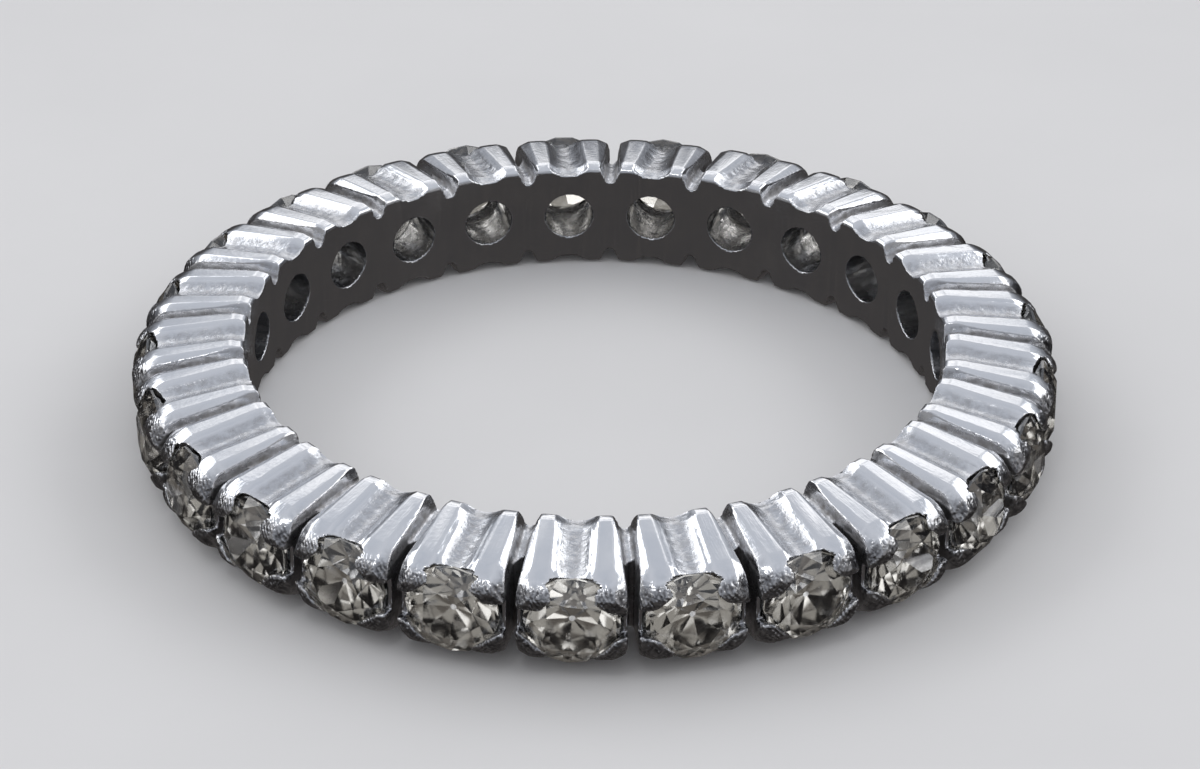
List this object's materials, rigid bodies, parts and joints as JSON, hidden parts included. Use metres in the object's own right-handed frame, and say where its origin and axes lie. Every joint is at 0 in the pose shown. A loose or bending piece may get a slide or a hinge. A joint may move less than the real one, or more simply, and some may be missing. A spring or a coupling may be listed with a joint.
{
  "type": "full eternity ring with claw-set round stones",
  "caption": "Full eternity ring lying on its side: a white metal band of claw settings cut apart by saw slots, with a round faceted stone in each.",
  "frame": {"origin": "on the surface that the ring lies on, at the middle of the finger hole", "axes": "+Z along the finger, up from the surface; -Y towards the middle of the first stone; +X to the right of it"},
  "size_m": [0.0228, 0.0228, 0.0029],
  "materials": {
    "white_metal": "polished white metal with softened edges, duller on the worn claws",
    "stone": "clear, faintly warm, old-cut facets"
  },
  "bodies": {
    "root": {"band": "white_metal", "stone_01": "stone", "stone_02": "stone", "stone_03": "stone", "stone_04": "stone", "stone_05": "stone", "stone_06": "stone", "stone_07": "stone", "stone_08": "stone", "stone_09": "stone", "stone_10": "stone", "stone_11": "stone", "stone_12": "stone", "stone_13": "stone", "stone_14": "stone", "stone_15": "stone", "stone_16": "stone", "stone_17": "stone", "stone_18": "stone", "stone_19": "stone", "stone_20": "stone", "stone_21": "stone", "stone_22": "stone", "stone_23": "stone", "stone_24": "stone", "stone_25": "stone"}
  },
  "joints": []
}
